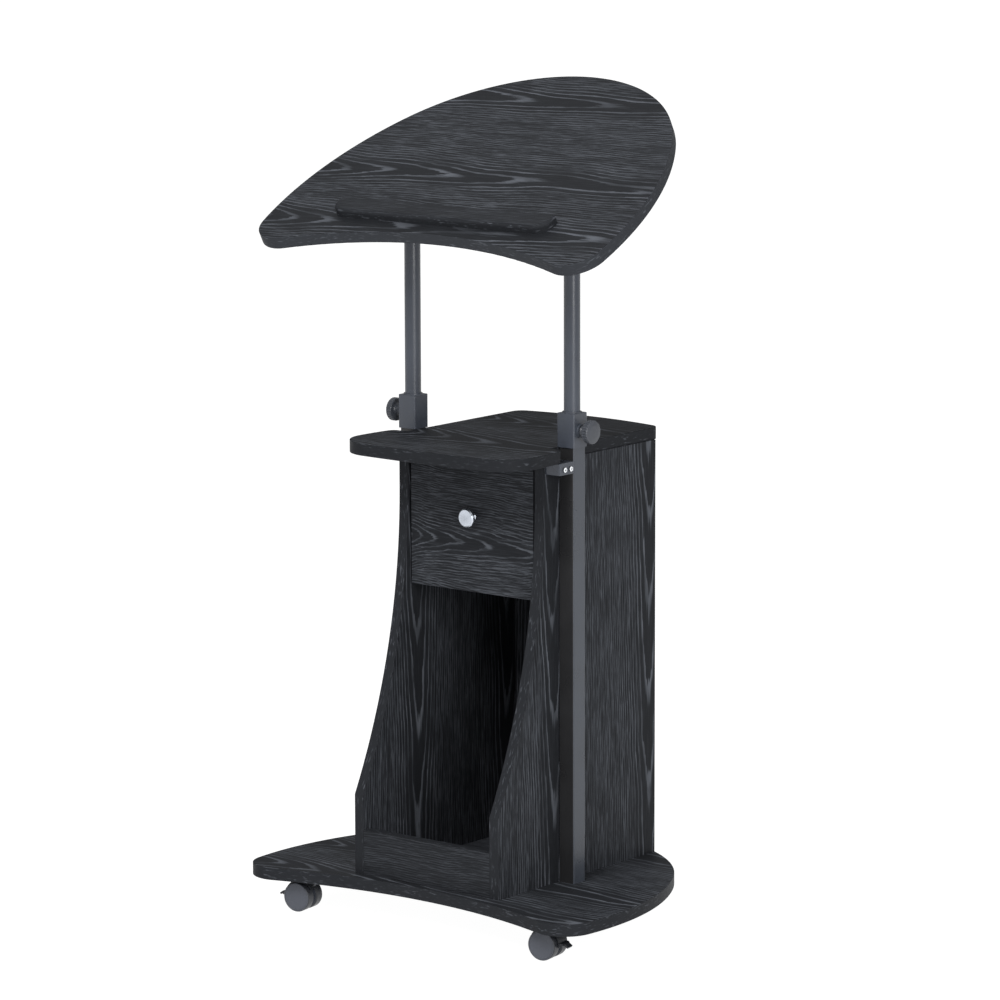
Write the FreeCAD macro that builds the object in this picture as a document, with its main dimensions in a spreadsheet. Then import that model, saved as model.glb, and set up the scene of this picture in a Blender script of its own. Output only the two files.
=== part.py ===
import FreeCAD, Part
import math
import os

from FreeCAD import Placement, Rotation, Vector

# Mobile lectern: a leaf-shaped base on four twin-wheel casters, a narrow cabinet
# with one drawer, two telescopic posts and a tilting leaf-shaped top.
# Millimetres and degrees. +Z is up, the user stands at -Y, X is the width.
# The origin is on the floor, in the middle of the base plate's outline.

os.makedirs("parts", exist_ok=True)
doc = FreeCAD.newDocument("lectern")

SIZES = {
    # leaf outline shared by the base plate and the top plate
    "leaf_back_radius": 268.6,
    "leaf_back_reach": 216.3,
    "leaf_side_radius": 422.9,
    "leaf_shoulder_angle": 30.6,
    "leaf_hip_angle": -6.28,
    "leaf_corner_radius": 43.3,
    "leaf_front_notch": -175.0,
    "plate_thickness": 17.0,
    "plate_edge_radius": 0.8,
    # casters
    "caster_height": 46.0,
    "wheel_radius": 20.3,
    "wheel_width": 14.4,
    "wheel_gap": 7.7,
    "caster_trail": 14.0,
    "front_caster_across": 198.0,
    "front_caster_along": -169.0,
    "rear_caster_across": 130.0,
    "rear_caster_along": 130.0,
    "axle_radius": 3.0,
    "running_gap": 0.05,
    # cabinet
    "cabinet_half_width": 124.5,
    "side_thickness": 15.0,
    "cabinet_height": 578.0,
    "cabinet_back": 184.3,
    "cabinet_front": -63.7,
    "foot_front": -162.1,
    "foot_height": 110.0,
    "foot_curve_radius": 900.0,
    "foot_curve_rise": 520.0,
    "kick_rail_height": 61.5,
    "back_thickness": 15.0,
    # shelf board on top of the cabinet
    "shelf_half_width": 123.3,
    "shelf_back_reach": 210.8,
    "shelf_back_radius": 485.0,
    "shelf_front_reach": -171.9,
    "shelf_front_radius": 1500.0,
    "wing_reach": 152.3,
    "wing_corner_radius": 53.0,
    "wing_side_radius": 400.0,
    "wing_rear": -49.0,
    "shelf_rear_corner": 18.0,
    "wing_rear_corner": 13.0,
    # posts
    "post_across": 137.2,
    "post_along": -18.2,
    "outer_tube_side": 25.4,
    "outer_tube_wall": 1.2,
    "outer_tube_corner": 2.2,
    "outer_tube_length": 634.0,
    "collar_side": 29.0,
    "collar_bottom": 658.3,
    "collar_height": 46.1,
    "collar_lip": 1.6,
    "inner_tube_radius": 11.1,
    "inner_tube_wall": 1.2,
    "inner_tube_bottom": 374.0,
    "inner_tube_top": 957.0,
    "clamp_level": 680.5,
    "clamp_stud_radius": 4.0,
    "knob_radius": 16.0,
    "knob_thickness": 10.0,
    "knob_face": 174.5,
    # wing brackets
    "bracket_length": 29.5,
    "bracket_height": 16.4,
    "bracket_screw_radius": 2.0,
    "bracket_screw_drop": 9.2,
    "bracket_screw_front": -50.6,
    "bracket_screw_rear": -37.7,
    # drawer
    "drawer_front_half_width": 105.5,
    "drawer_front_bottom": 452.0,
    "drawer_front_height": 186.4,
    "drawer_front_thickness": 15.0,
    "drawer_front_setback": 2.0,
    "drawer_box_half_width": 97.0,
    "drawer_box_length": 200.0,
    "drawer_box_height": 120.0,
    "drawer_box_bottom": 464.0,
    "drawer_side_thickness": 12.0,
    "drawer_bottom_thickness": 4.0,
    "runner_level": 507.0,
    "runner_length": 195.0,
    "runner_sheet": 1.3,
    "drawer_knob_radius": 13.3,
    "drawer_knob_reach": 14.0,
    "drawer_knob_level": 554.4,
    # tilting top
    "top_tilt": 28.2,
    "pivot_level": 974.5,
    "pivot_to_plate": 20.0,
    "pivot_radius": 3.0,
    "lug_thickness": 6.0,
    "ear_thickness": 3.0,
    "ear_radius": 11.0,
    "ledge_front": -154.0,
    "ledge_depth": 28.5,
    "ledge_height": 12.5,
    "ledge_half": 183.5,
    "ledge_corner_radius": 21.0,
    "ledge_lip_radius": 5.0,
}

sheet = doc.addObject("Spreadsheet::Sheet", "Sizes")
for row, (name, value) in enumerate(SIZES.items(), start=1):
    sheet.set("A%d" % row, name)
    sheet.set("B%d" % row, str(value))
    sheet.setAlias("B%d" % row, name)
doc.recompute()


def size(name):
    """The value of a named size, read back from the sheet."""
    return float(sheet.get(name))


# ---------------------------------------------------------------- helpers

def new_body(label):
    body = doc.addObject("PartDesign::Body", label)
    body.Label = label
    return body


def origin_plane(body, role):
    for item in body.Origin.OriginFeatures:
        if item.Role == role:
            return item
    raise ValueError(role)


def new_sketch(body, role, name, offset=0.0):
    """A sketch on one of the body's own origin planes, moved along its normal."""
    sketch = body.newObject("Sketcher::SketchObject", name)
    sketch.AttachmentSupport = [(origin_plane(body, role), "")]
    sketch.MapMode = "FlatFace"
    sketch.AttachmentOffset = Placement(Vector(0, 0, offset), Rotation())
    return sketch


def line(start, end):
    return Part.LineSegment(Vector(start[0], start[1], 0), Vector(end[0], end[1], 0))


def arc(centre, radius, start_angle, end_angle):
    """Counter-clockwise arc, angles in radians."""
    circle = Part.Circle(Vector(centre[0], centre[1], 0), Vector(0, 0, 1), radius)
    return Part.ArcOfCircle(circle, start_angle, end_angle)


def circle(centre, radius):
    return Part.Circle(Vector(centre[0], centre[1], 0), Vector(0, 0, 1), radius)


def polygon(points):
    """Closed outline of straight edges."""
    return [line(a, b) for a, b in zip(points, points[1:] + points[:1])]


def rectangle(low_x, low_y, high_x, high_y):
    return polygon([(low_x, low_y), (high_x, low_y), (high_x, high_y), (low_x, high_y)])


def rounded_square(side, corner):
    half = side / 2
    inner = half - corner
    edges = []
    for turn in range(4):
        angle = turn * math.pi / 2
        cos, sin = round(math.cos(angle)), round(math.sin(angle))

        def spin(x, y):
            return (x * cos - y * sin, x * sin + y * cos)

        edges.append(line(spin(half, -inner), spin(half, inner)))
        edges.append(arc(spin(inner, inner), corner, angle, angle + math.pi / 2))
    return edges


def add_geometry(sketch, edges):
    for edge in edges:
        sketch.addGeometry(edge, False)
    return sketch


def pad(body, name, role, edges, length, offset=0.0, reverse=False, size_name=None):
    """Sketch and pad in one step; the length follows the sheet when size_name is given."""
    sketch = add_geometry(new_sketch(body, role, name + "_outline", offset), edges)
    feature = body.newObject("PartDesign::Pad", name)
    feature.Profile = sketch
    feature.Length = length
    feature.Reversed = reverse
    if size_name:
        feature.setExpression("Length", "Sizes." + size_name)
    sketch.Visibility = False
    doc.recompute()
    return feature


def pocket(body, name, role, edges, length, offset=0.0, reverse=False):
    """Sketch and pocket in one step; the cut has to take material away."""
    before = body.Shape.Volume
    sketch = add_geometry(new_sketch(body, role, name + "_outline", offset), edges)
    feature = body.newObject("PartDesign::Pocket", name)
    feature.Profile = sketch
    feature.Length = length
    feature.Reversed = reverse
    sketch.Visibility = False
    doc.recompute()
    if not body.Shape.Volume < before - 0.01:
        raise ValueError("pocket %s of %s cuts nothing" % (name, body.Label))
    return feature


def revolve(body, name, edges):
    """Turn a closed outline, drawn as (radius, height), about the body's own Z axis."""
    sketch = add_geometry(new_sketch(body, "XZ_Plane", name + "_outline"), edges)
    feature = body.newObject("PartDesign::Revolution", name)
    feature.Profile = sketch
    feature.ReferenceAxis = (sketch, ["V_Axis"])
    feature.Angle = 360.0
    sketch.Visibility = False
    doc.recompute()
    return feature


def edge_refs(shape, wanted):
    """Names of the edges for which wanted(edge) is true."""
    return ["Edge%d" % (i + 1) for i, edge in enumerate(shape.Edges) if wanted(edge)]


def fillet(body, name, radius, wanted):
    tip = body.Tip
    feature = body.newObject("PartDesign::Fillet", name)
    feature.Base = (tip, edge_refs(tip.Shape, wanted))
    feature.Radius = radius
    doc.recompute()
    return feature


def chamfer(body, name, width, wanted):
    tip = body.Tip
    feature = body.newObject("PartDesign::Chamfer", name)
    feature.Base = (tip, edge_refs(tip.Shape, wanted))
    feature.Size = width
    doc.recompute()
    return feature


def lies_at(edge, z):
    box = edge.BoundBox
    return abs(box.ZMin - z) < 0.01 and abs(box.ZMax - z) < 0.01


def is_upright(edge):
    box = edge.BoundBox
    return box.XLength < 0.01 and box.YLength < 0.01 and box.ZLength > 1


def place(body, x=0.0, y=0.0, z=0.0, rotation=None):
    body.Placement = Placement(Vector(x, y, z), rotation or Rotation())


SIDES = {"left": -1, "right": 1}
UP = Vector(0, 0, 1)
BASE_BOTTOM = size("caster_height")
BASE_TOP = BASE_BOTTOM + size("plate_thickness")
SHELF_BOTTOM = BASE_TOP + size("cabinet_height")
PANEL_OUTSIDE = size("cabinet_half_width")
PANEL_INSIDE = PANEL_OUTSIDE - size("side_thickness")
POST_X = size("post_across")
POST_Y = size("post_along")
GAP = size("running_gap")


# ---------------------------------------------------------------- leaf plates

def leaf_outline():
    """Bowed back, bulging sides, rounded front corners and a hollow front edge.

    Five kinds of arc that run into each other tangentially, mirrored about Y.
    """
    shoulder = math.radians(size("leaf_shoulder_angle"))
    hip = math.radians(size("leaf_hip_angle"))
    back_radius = size("leaf_back_radius")
    side_radius = size("leaf_side_radius")
    corner_radius = size("leaf_corner_radius")
    back_centre = (0.0, size("leaf_back_reach") - back_radius)
    step = back_radius - side_radius
    side_centre = (step * math.cos(shoulder), back_centre[1] + step * math.sin(shoulder))
    step = side_radius - corner_radius
    corner_centre = (side_centre[0] + step * math.cos(hip), side_centre[1] + step * math.sin(hip))
    # The front arc passes through the notch and touches both corner arcs.
    across = corner_centre[0]
    down = corner_centre[1] - size("leaf_front_notch")
    front_radius = (across ** 2 + down ** 2 - corner_radius ** 2) / (2 * (corner_radius - down))
    front_centre = (0.0, size("leaf_front_notch") - front_radius)
    to_front = math.atan2(front_centre[1] - corner_centre[1], -across)
    front_start = to_front + math.pi
    mirrored = (-corner_centre[0], corner_centre[1])
    return [
        arc(back_centre, back_radius, shoulder, math.pi - shoulder),
        arc(side_centre, side_radius, hip, shoulder),
        arc(corner_centre, corner_radius, to_front, hip),
        arc(front_centre, front_radius, front_start, math.pi - front_start),
        arc(mirrored, corner_radius, math.pi - hip, -math.pi - to_front + 2 * math.pi),
        arc((-side_centre[0], side_centre[1]), side_radius, math.pi - shoulder, math.pi - hip),
    ]


def soften_board(body, thickness):
    """Break the long edges of a board all round, as an edge band is."""
    def on_a_face(edge):
        return lies_at(edge, 0.0) or lies_at(edge, thickness)

    fillet(body, "edge_band", size("plate_edge_radius"), on_a_face)


CASTERS = {
    "front_left": (-size("front_caster_across"), size("front_caster_along"), 188.0),
    "front_right": (size("front_caster_across"), size("front_caster_along"), 8.0),
    "rear_left": (-size("rear_caster_across"), size("rear_caster_along"), 180.0),
    "rear_right": (size("rear_caster_across"), size("rear_caster_along"), 0.0),
}

base_plate = new_body("base_plate")
pad(base_plate, "board", "XY_Plane", leaf_outline(), size("plate_thickness"),
    size_name="plate_thickness")
soften_board(base_plate, size("plate_thickness"))
STEM_PEG_RADIUS = 5.0
STEM_PEG_LENGTH = 11.0
for corner, (x, y, turn) in CASTERS.items():
    pocket(base_plate, "socket_" + corner, "XY_Plane",
           [circle((x, y), STEM_PEG_RADIUS + GAP)], STEM_PEG_LENGTH + 0.5, reverse=True)
place(base_plate, z=BASE_BOTTOM)
base_plate.setExpression("Placement.Base.z", "Sizes.caster_height")

# ---------------------------------------------------------------- cabinet

BRACKET_SCREWS = {
    "front": size("bracket_screw_front"),
    "rear": size("bracket_screw_rear"),
}
BRACKET_TOP = SHELF_BOTTOM
SCREW_LEVEL = BRACKET_TOP - size("bracket_screw_drop")
SCREW_GRIP = 10.0


def panel_outline():
    """Side panel seen from the side, its front edge sweeping out to an upright foot.

    Drawn as (y, height above the base plate).
    """
    front = size("cabinet_front")
    radius = size("foot_curve_radius")
    rise = size("foot_curve_rise")
    foot = size("foot_height")
    centre = (front - radius, rise)
    low_angle = -math.asin((rise - foot) / radius)
    foot_front = centre[0] + radius * math.cos(low_angle)
    return [
        line((foot_front, 0), (size("cabinet_back"), 0)),
        line((size("cabinet_back"), 0), (size("cabinet_back"), size("cabinet_height"))),
        line((size("cabinet_back"), size("cabinet_height")), (front, size("cabinet_height"))),
        line((front, size("cabinet_height")), (front, rise)),
        arc(centre, radius, low_angle, 0.0),
        line((foot_front, foot), (foot_front, 0)),
    ]


for side, sign in SIDES.items():
    panel = new_body("side_panel_" + side)
    pad(panel, "board", "YZ_Plane", panel_outline(), size("side_thickness"),
        size_name="side_thickness")
    for end, y in BRACKET_SCREWS.items():
        hole = [circle((y, SCREW_LEVEL - BASE_TOP), size("bracket_screw_radius") + GAP)]
        if sign > 0:
            pocket(panel, "pilot_" + end, "YZ_Plane", hole, SCREW_GRIP + 0.5,
                   offset=size("side_thickness"))
        else:
            pocket(panel, "pilot_" + end, "YZ_Plane", hole, SCREW_GRIP + 0.5, reverse=True)
    low_x = PANEL_INSIDE if sign > 0 else -PANEL_OUTSIDE
    place(panel, x=low_x, z=BASE_TOP)
    panel.setExpression("Placement.Base.z", "Sizes.caster_height + Sizes.plate_thickness")

back_panel = new_body("back_panel")
pad(back_panel, "board", "XY_Plane",
    rectangle(-PANEL_INSIDE, -size("back_thickness"), PANEL_INSIDE, 0),
    size("cabinet_height"), size_name="cabinet_height")
place(back_panel, y=size("cabinet_back"), z=BASE_TOP)

kick_rail = new_body("kick_rail")
pad(kick_rail, "board", "XY_Plane",
    rectangle(-PANEL_INSIDE, 0, PANEL_INSIDE, size("side_thickness")),
    size("kick_rail_height"), size_name="kick_rail_height")
place(kick_rail, y=size("foot_front"), z=BASE_TOP)


def shelf_outline():
    """Board with two front wings that reach past the cabinet, in front of the posts."""
    half = size("shelf_half_width")
    back_radius = size("shelf_back_radius")
    back_centre = (0.0, size("shelf_back_reach") - back_radius)
    back_angle = math.acos(half / back_radius)
    back_corner_y = back_centre[1] + back_radius * math.sin(back_angle)
    wing_rear = size("wing_rear")
    corner_radius = size("wing_corner_radius")
    front_radius = size("shelf_front_radius")
    # The front arc bows towards the user and touches both corner arcs from outside.
    corner_x = size("wing_reach") - corner_radius
    front_centre_y = size("shelf_front_reach") + front_radius
    reach = front_radius - corner_radius
    corner_y = front_centre_y - math.sqrt(reach ** 2 - corner_x ** 2)
    touch = math.atan2(corner_y - front_centre_y, corner_x)
    side_radius = size("wing_side_radius")
    side_centre_x = size("wing_reach") - side_radius
    rear_angle = math.asin((wing_rear - corner_y) / side_radius)
    wing_rear_x = side_centre_x + side_radius * math.cos(rear_angle)
    return [
        arc(back_centre, back_radius, back_angle, math.pi - back_angle),
        line((-half, back_corner_y), (-half, wing_rear)),
        line((-half, wing_rear), (-wing_rear_x, wing_rear)),
        arc((-side_centre_x, corner_y), side_radius, math.pi - rear_angle, math.pi),
        arc((-corner_x, corner_y), corner_radius, math.pi, -math.pi - touch + 2 * math.pi),
        arc((0, front_centre_y), front_radius, -math.pi - touch + 2 * math.pi, touch + 2 * math.pi),
        arc((corner_x, corner_y), corner_radius, touch, 0.0),
        arc((side_centre_x, corner_y), side_radius, 0.0, rear_angle),
        line((wing_rear_x, wing_rear), (half, wing_rear)),
        line((half, wing_rear), (half, back_corner_y)),
    ]


shelf_board = new_body("shelf_board")
pad(shelf_board, "board", "XY_Plane", shelf_outline(), size("plate_thickness"),
    size_name="plate_thickness")
fillet(shelf_board, "rear_corners", size("shelf_rear_corner"),
       lambda edge: is_upright(edge) and edge.BoundBox.YMin > 100)
fillet(shelf_board, "wing_corners", size("wing_rear_corner"),
       lambda edge: is_upright(edge) and abs(edge.BoundBox.YMin - size("wing_rear")) < 0.01
       and abs(edge.BoundBox.XMin) > size("shelf_half_width") + 5)
soften_board(shelf_board, size("plate_thickness"))
place(shelf_board, z=SHELF_BOTTOM)

# ---------------------------------------------------------------- fixed posts

TUBE_SIDE = size("outer_tube_side")
TUBE_TOP = BASE_TOP + size("outer_tube_length")
COLLAR_BOTTOM = size("collar_bottom")
COLLAR_TOP = COLLAR_BOTTOM + size("collar_height")
CLAMP_LEVEL = size("clamp_level")
CLAMP_HOLE = size("clamp_stud_radius") + GAP
BOSS_REACH = 3.4
BOSS_RADIUS = 9.5

for side, sign in SIDES.items():
    tube = new_body("outer_tube_" + side)
    wall = size("outer_tube_wall")
    corner = size("outer_tube_corner")
    walls = rounded_square(TUBE_SIDE, corner)
    walls += rounded_square(TUBE_SIDE - 2 * wall, corner - wall)
    pad(tube, "square_tube", "XY_Plane", walls, size("outer_tube_length"),
        size_name="outer_tube_length")
    pocket(tube, "clamp_hole", "YZ_Plane", [circle((0, CLAMP_LEVEL - BASE_TOP), CLAMP_HOLE)],
           5.0, offset=sign * (TUBE_SIDE / 2 + 1), reverse=sign < 0)
    place(tube, x=sign * POST_X, y=POST_Y, z=BASE_TOP)

    collar = new_body("tube_collar_" + side)
    collar_height = size("collar_height")
    pad(collar, "block", "XY_Plane", rounded_square(size("collar_side"), 2.0), collar_height,
        size_name="collar_height")
    fillet(collar, "soft_rim", 0.8, lambda edge: lies_at(edge, collar_height))
    pad(collar, "lip", "XY_Plane", [circle((0, 0), size("inner_tube_radius") + 1.9)],
        size("collar_lip"), offset=collar_height)
    pad(collar, "boss", "YZ_Plane", [circle((0, CLAMP_LEVEL - COLLAR_BOTTOM), BOSS_RADIUS)],
        size("collar_side") / 2 + BOSS_REACH, reverse=sign < 0)
    pocket(collar, "tube_seat", "XY_Plane", rounded_square(TUBE_SIDE + 0.2, corner + 0.1),
           TUBE_TOP - COLLAR_BOTTOM, reverse=True)
    pocket(collar, "post_bore", "XY_Plane", [circle((0, 0), size("inner_tube_radius") + GAP)],
           collar_height + 5, reverse=True)
    pocket(collar, "clamp_hole", "YZ_Plane",
           [circle((0, CLAMP_LEVEL - COLLAR_BOTTOM), CLAMP_HOLE)],
           BOSS_REACH + 5, offset=sign * (size("collar_side") / 2 + BOSS_REACH + 1),
           reverse=sign < 0)
    place(collar, x=sign * POST_X, y=POST_Y, z=COLLAR_BOTTOM)

    # A block under each wing, screwed through its outer face into the side panel.
    bracket = new_body("wing_bracket_" + side)
    bracket_width = POST_X + TUBE_SIDE / 2 - PANEL_OUTSIDE
    bracket_rear = POST_Y - TUBE_SIDE / 2
    height = size("bracket_height")
    pad(bracket, "block", "XY_Plane",
        rectangle(0, -size("bracket_length"), bracket_width, 0), height,
        size_name="bracket_height")
    fillet(bracket, "soft_edges", 1.2,
           lambda edge: edge.BoundBox.YMax < -size("bracket_length") + 0.01
           or edge.BoundBox.ZMax < 0.01)
    for end, y in BRACKET_SCREWS.items():
        pocket(bracket, "screw_hole_" + end, "YZ_Plane",
               [circle((y - bracket_rear if sign > 0 else bracket_rear - y - size("bracket_length"),
                        SCREW_LEVEL - BRACKET_TOP + height),
                       size("bracket_screw_radius") + 0.25)],
               bracket_width + 2, offset=bracket_width + 1)
    turn = Rotation() if sign > 0 else Rotation(UP, 180)
    y = bracket_rear if sign > 0 else bracket_rear - size("bracket_length")
    place(bracket, x=sign * PANEL_OUTSIDE, y=y, z=BRACKET_TOP - height, rotation=turn)

    for end, y in BRACKET_SCREWS.items():
        screw = new_body("bracket_screw_%s_%s" % (side, end))
        shank = bracket_width + SCREW_GRIP
        shank_radius = size("bracket_screw_radius")
        head = [
            (0, -shank), (shank_radius * 0.5, -shank), (shank_radius, -shank + 2),
            (shank_radius, 0), (3.6, 0), (3.6, 1.2), (2.9, 2.0), (0, 2.0),
        ]
        revolve(screw, "turned", polygon(head))
        pocket(screw, "recess_long", "XY_Plane", rectangle(-2.0, -0.45, 2.0, 0.45), 1.0,
               offset=2.0)
        pocket(screw, "recess_cross", "XY_Plane", rectangle(-0.45, -2.0, 0.45, 2.0), 1.0,
               offset=2.0)
        place(screw, x=sign * (PANEL_OUTSIDE + bracket_width), y=y, z=SCREW_LEVEL,
              rotation=Rotation(UP, Vector(sign, 0, 0)))

# ---------------------------------------------------------------- clamp knobs

STUD_TIP = POST_X + size("inner_tube_radius") + GAP
KNOB_FACE = size("knob_face")


def knob_profile():
    """Threaded stud, slim neck and a wide domed head, as (radius, distance along)."""
    radius = size("knob_radius")
    stud = size("clamp_stud_radius")
    total = KNOB_FACE - STUD_TIP
    head_start = total - size("knob_thickness")
    neck_start = POST_X + size("collar_side") / 2 + BOSS_REACH + 0.4 - STUD_TIP
    dome = 1.0
    return polygon([
        (0, 0), (stud - 0.8, 0), (stud, 0.8), (stud, neck_start), (7.6, neck_start),
        (6.6, neck_start + 2.5), (6.6, head_start - 2.0), (9.0, head_start),
        (radius - 1.0, head_start), (radius, head_start + 1.0), (radius, total - dome - 1.2),
        (radius - 1.4, total - dome), (radius * 0.55, total - 0.2), (0, total),
    ])


FLUTES = 26
for side, sign in SIDES.items():
    knob = new_body("clamp_knob_" + side)
    revolve(knob, "turned", knob_profile())
    head_start = KNOB_FACE - STUD_TIP - size("knob_thickness")
    flute = pocket(knob, "flute", "XY_Plane", [circle((size("knob_radius") + 0.2, 0), 1.25)],
                   size("knob_thickness") + 2, offset=head_start - 1, reverse=True)
    ring = knob.newObject("PartDesign::PolarPattern", "flutes")
    ring.Originals = [flute]
    ring.Axis = (flute.Profile[0], ["N_Axis"])
    ring.Angle = 360.0
    ring.Occurrences = FLUTES
    knob.Tip = ring
    doc.recompute()
    place(knob, x=sign * STUD_TIP, y=POST_Y, z=CLAMP_LEVEL,
          rotation=Rotation(UP, Vector(sign, 0, 0)))

# ---------------------------------------------------------------- drawer

FRONT_Y = size("cabinet_front") + size("drawer_front_setback")
BOX_FRONT = FRONT_Y + size("drawer_front_thickness")
BOX_BACK = BOX_FRONT + size("drawer_box_length")
BOX_BOTTOM = size("drawer_box_bottom")
BOX_HALF = size("drawer_box_half_width")
BOX_SIDE = size("drawer_side_thickness")

drawer_front = new_body("drawer_front")
pad(drawer_front, "board", "XY_Plane",
    rectangle(-size("drawer_front_half_width"), 0, size("drawer_front_half_width"),
              size("drawer_front_thickness")),
    size("drawer_front_height"), size_name="drawer_front_height")
KNOB_SCREW_RADIUS = 2.0
pocket(drawer_front, "knob_hole", "XZ_Plane",
       [circle((0, size("drawer_knob_level") - size("drawer_front_bottom")),
               KNOB_SCREW_RADIUS + 0.1)],
       size("drawer_front_thickness") + 2, offset=1.0)
place(drawer_front, y=FRONT_Y, z=size("drawer_front_bottom"))

for side, sign in SIDES.items():
    board = new_body("drawer_side_" + side)
    pad(board, "board", "XY_Plane", rectangle(0, 0, BOX_SIDE, size("drawer_box_length")),
        size("drawer_box_height"), size_name="drawer_box_height")
    low_x = BOX_HALF - BOX_SIDE if sign > 0 else -BOX_HALF
    place(board, x=low_x, y=BOX_FRONT, z=BOX_BOTTOM)

drawer_back = new_body("drawer_back")
inner_half = BOX_HALF - BOX_SIDE
pad(drawer_back, "board", "XY_Plane", rectangle(-inner_half, -BOX_SIDE, inner_half, 0),
    size("drawer_box_height"), size_name="drawer_box_height")
place(drawer_back, y=BOX_BACK, z=BOX_BOTTOM)

drawer_bottom = new_body("drawer_bottom")
pad(drawer_bottom, "board", "XY_Plane",
    rectangle(-inner_half, 0, inner_half, size("drawer_box_length") - BOX_SIDE),
    size("drawer_bottom_thickness"), size_name="drawer_bottom_thickness")
place(drawer_bottom, y=BOX_FRONT, z=BOX_BOTTOM + 4)

# Turned knob with a many-sided face and a short neck, screwed through the front.
drawer_knob = new_body("drawer_knob")
knob_reach = size("drawer_knob_reach")
knob_radius = size("drawer_knob_radius")
inner_reach = size("drawer_front_thickness") + 1.5
revolve(drawer_knob, "turned", polygon([
    (0, -inner_reach - 2), (4.5, -inner_reach - 2), (4.5, -inner_reach + 1.5),
    (KNOB_SCREW_RADIUS, -inner_reach + 1.5), (KNOB_SCREW_RADIUS, 0), (7.0, 0), (5.6, 2.4),
    (5.4, 5.0), (knob_radius - 2.4, 7.6), (knob_radius, 9.6), (knob_radius, knob_reach - 2.0),
    (knob_radius - 2.2, knob_reach), (0, knob_reach),
]))
facet = pocket(drawer_knob, "facet", "XY_Plane",
               rectangle(knob_radius - 0.6, -8, knob_radius + 4, 8), 12, offset=4.0,
               reverse=True)
facets = drawer_knob.newObject("PartDesign::PolarPattern", "facets")
facets.Originals = [facet]
facets.Axis = (facet.Profile[0], ["N_Axis"])
facets.Angle = 360.0
facets.Occurrences = 12
drawer_knob.Tip = facets
doc.recompute()
place(drawer_knob, y=FRONT_Y, z=size("drawer_knob_level"),
      rotation=Rotation(UP, Vector(0, -1, 0)))


def channel(depth, height, sheet_metal):
    """C section, open towards +X, as (x, z) about its middle height."""
    half = height / 2
    return polygon([
        (0, -half), (depth, -half), (depth, -half + sheet_metal),
        (sheet_metal, -half + sheet_metal), (sheet_metal, half - sheet_metal),
        (depth, half - sheet_metal), (depth, half), (0, half),
    ])


# Two nested channels a side: the wide one on the cabinet, the narrow one on the drawer.
for side, sign in SIDES.items():
    metal = size("runner_sheet")
    cabinet_rail = new_body("drawer_rail_" + side)
    pad(cabinet_rail, "channel", "XZ_Plane", channel(9.0, 34.0, metal), size("runner_length"),
        size_name="runner_length")
    turn = Rotation(UP, 180) if sign > 0 else Rotation()
    y = BOX_FRONT + 1 if sign > 0 else BOX_FRONT + 1 + size("runner_length")
    place(cabinet_rail, x=sign * PANEL_INSIDE, y=y, z=size("runner_level"), rotation=turn)

    drawer_rail = new_body("drawer_slide_" + side)
    pad(drawer_rail, "channel", "XZ_Plane", channel(8.5, 28.0, metal), size("runner_length"),
        size_name="runner_length")
    turn = Rotation() if sign > 0 else Rotation(UP, 180)
    y = BOX_FRONT + 1 + size("runner_length") if sign > 0 else BOX_FRONT + 1
    place(drawer_rail, x=sign * BOX_HALF, y=y, z=size("runner_level"), rotation=turn)

# ---------------------------------------------------------------- lifting posts

PIVOT_Z = size("pivot_level")
LUG = size("lug_thickness")
EAR = size("ear_thickness")
EAR_GAP = 0.5
PIVOT_HOLE = size("pivot_radius") + GAP

for side, sign in SIDES.items():
    post = new_body("inner_tube_" + side)
    outer = size("inner_tube_radius")
    bore = outer - size("inner_tube_wall")
    length = size("inner_tube_top") - size("inner_tube_bottom")
    pad(post, "round_tube", "XY_Plane", [circle((0, 0), outer), circle((0, 0), bore)], length)
    place(post, x=sign * POST_X, y=POST_Y, z=size("inner_tube_bottom"))

    # Plug in the top of the post with an upright ear for the tilt pivot.
    lug = new_body("hinge_lug_" + side)
    rim = 3.0
    pivot_up = PIVOT_Z - size("inner_tube_top")
    pad(lug, "plug", "XY_Plane", [circle((0, 0), bore - GAP)], 24.0, reverse=True)
    pad(lug, "rim", "XY_Plane", [circle((0, 0), outer)], rim)
    ear_half = size("ear_radius") - 1.0
    pad(lug, "ear", "YZ_Plane", [
        line((-ear_half, rim / 2), (ear_half, rim / 2)),
        line((ear_half, rim / 2), (ear_half, pivot_up)),
        arc((0, pivot_up), ear_half, 0.0, math.pi),
        line((-ear_half, pivot_up), (-ear_half, rim / 2)),
    ], LUG, offset=-LUG / 2)
    pocket(lug, "pivot_hole", "YZ_Plane", [circle((0, pivot_up), PIVOT_HOLE)], LUG + 2,
           offset=LUG / 2 + 1)
    place(lug, x=sign * POST_X, y=POST_Y, z=size("inner_tube_top"))

    # Bolt through lug and ears: hexagon head outside, lock nut inside.
    bolt = new_body("pivot_bolt_" + side)
    grip = LUG / 2 + EAR_GAP + EAR + 0.3
    pad(bolt, "shank", "XY_Plane", [circle((0, 0), size("pivot_radius"))], 2 * grip + 4,
        offset=-grip - 4)
    hexagon = [(5.6 * math.cos(k * math.pi / 3), 5.6 * math.sin(k * math.pi / 3))
               for k in range(6)]
    pad(bolt, "head", "XY_Plane", polygon(hexagon), 4.0, offset=grip)
    pad(bolt, "nut", "XY_Plane", polygon(hexagon), 4.0, offset=-grip - 4)
    place(bolt, x=sign * POST_X, y=POST_Y, z=PIVOT_Z, rotation=Rotation(UP, Vector(sign, 0, 0)))

# ---------------------------------------------------------------- tilting top

TILT = Rotation(Vector(1, 0, 0), size("top_tilt"))
PIVOT = Vector(0, POST_Y, PIVOT_Z)
# Along the plate, the pivot sits this far from the middle of its outline.
PIVOT_IN_PLATE = -43.6


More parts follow.
